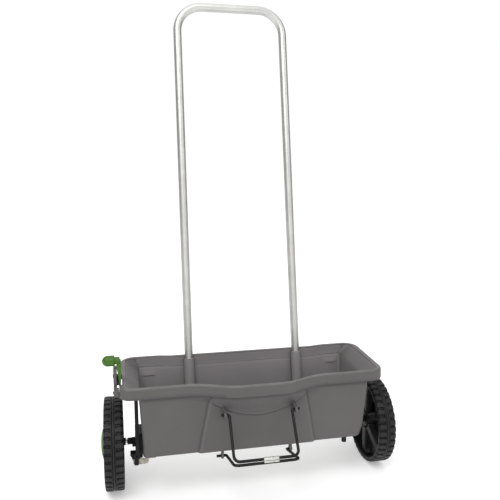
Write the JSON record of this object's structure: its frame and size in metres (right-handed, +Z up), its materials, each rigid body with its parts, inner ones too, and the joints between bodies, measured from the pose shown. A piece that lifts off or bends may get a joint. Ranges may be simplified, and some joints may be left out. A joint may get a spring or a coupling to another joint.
{
  "type": "drop spreader",
  "caption": "Push-along drop spreader: two wheels, a trough hopper with a metering slide, a lever with linkage, a U handle and a folding wire stand.",
  "frame": {"origin": "on the floor, below the middle of the machine's bounding box; the wheel axle is 36 mm forward of it and 100 mm up", "axes": "+X along the hopper towards the free wheel, -Y forward to the folding stand, +Y back to the handle, +Z up"},
  "size_m": [0.6612, 0.4435, 1.0795],
  "materials": {
    "grey_plastic": "satin moulded, fine grain",
    "handle_tube": "satin drawn tube",
    "plated_steel": "bright zinc plate",
    "black_plastic": "matt moulded",
    "green_plastic": "semi-gloss moulded",
    "galvanised_steel": "galvanised, spangled",
    "black_wire": "black coated wire"
  },
  "bodies": {
    "chassis": {"hopper": "grey_plastic", "handle_upper": "handle_tube", "handle_lower_left": "handle_tube", "handle_lower_right": "handle_tube", "snap_buttons": "plated_steel", "handle_screws": "plated_steel", "bearing_left": "black_plastic", "bearing_right": "black_plastic", "bearing_screws": "plated_steel", "bell_crank_pin": "plated_steel", "slide_rail_front": "black_plastic", "slide_rail_rear": "black_plastic", "rail_screws": "plated_steel", "setting_quadrant": "grey_plastic", "quadrant_screws": "plated_steel"},
    "drive_axle": {"axle": "plated_steel", "agitator": "black_plastic", "drive_pin": "plated_steel", "wheel_washers": "plated_steel", "push_nuts": "plated_steel", "wheel_left": "black_plastic", "hub_cap_left": "green_plastic"},
    "free_wheel": {"wheel_right": "black_plastic", "hub_cap_right": "green_plastic"},
    "lever": {"control_lever": "green_plastic", "lever_shaft": "plated_steel", "lever_crank": "black_plastic"},
    "push_rod": {"control_link": "black_plastic"},
    "bell_crank": {"bell_crank": "black_plastic"},
    "slide": {"metering_slide": "galvanised_steel"},
    "rate_stop": {"rate_stop": "black_plastic"},
    "leg": {"stand_leg": "black_wire"},
    "bail": {"stand_bail": "black_wire", "stand_clip": "galvanised_steel"}
  },
  "joints": [
    {"name": "axle_spin", "type": "hinge", "parent": "chassis", "child": "drive_axle", "pos_m": [0, -0.036, 0.1], "axis": [1, 0, 0], "continuous": true},
    {"name": "wheel_spin", "type": "hinge", "parent": "chassis", "child": "free_wheel", "pos_m": [0.302, -0.036, 0.1], "axis": [1, 0, 0], "continuous": true},
    {"name": "lever_turn", "type": "hinge", "parent": "chassis", "child": "lever", "pos_m": [-0.28, -0.092, 0.236], "axis": [-1, 0, 0], "range_deg": [0, 26]},
    {"name": "rod_slide", "type": "slide", "parent": "chassis", "child": "push_rod", "axis": [0, 0, -1], "range_m": [0, 0.00615]},
    {"name": "bell_crank_turn", "type": "hinge", "parent": "chassis", "child": "bell_crank", "pos_m": [-0.2645, -0.066, 0.085], "axis": [0, 1, 0], "range_deg": [0, 30.9]},
    {"name": "slide_travel", "type": "slide", "parent": "chassis", "child": "slide", "axis": [-1, 0, 0], "range_m": [0, 0.00955]},
    {"name": "stop_set", "type": "hinge", "parent": "chassis", "child": "rate_stop", "pos_m": [-0.292, -0.092, 0.236], "axis": [-1, 0, 0], "range_deg": [0, 12]},
    {"name": "leg_swing", "type": "hinge", "parent": "chassis", "child": "leg", "pos_m": [0, -0.122, 0.091], "axis": [1, 0, 0], "range_deg": [0, 78.3]},
    {"name": "bail_swing", "type": "hinge", "parent": "chassis", "child": "bail", "pos_m": [0, -0.158, 0.201], "axis": [-1, 0, 0], "range_deg": [0, 20]}
  ],
  "couplings": [
    {"joint": "rod_slide", "follows": "lever_turn", "m_per_rad": 0.01352},
    {"joint": "bell_crank_turn", "follows": "lever_turn", "ratio": 1.183},
    {"joint": "slide_travel", "follows": "lever_turn", "m_per_rad": 0.02102}
  ]
}
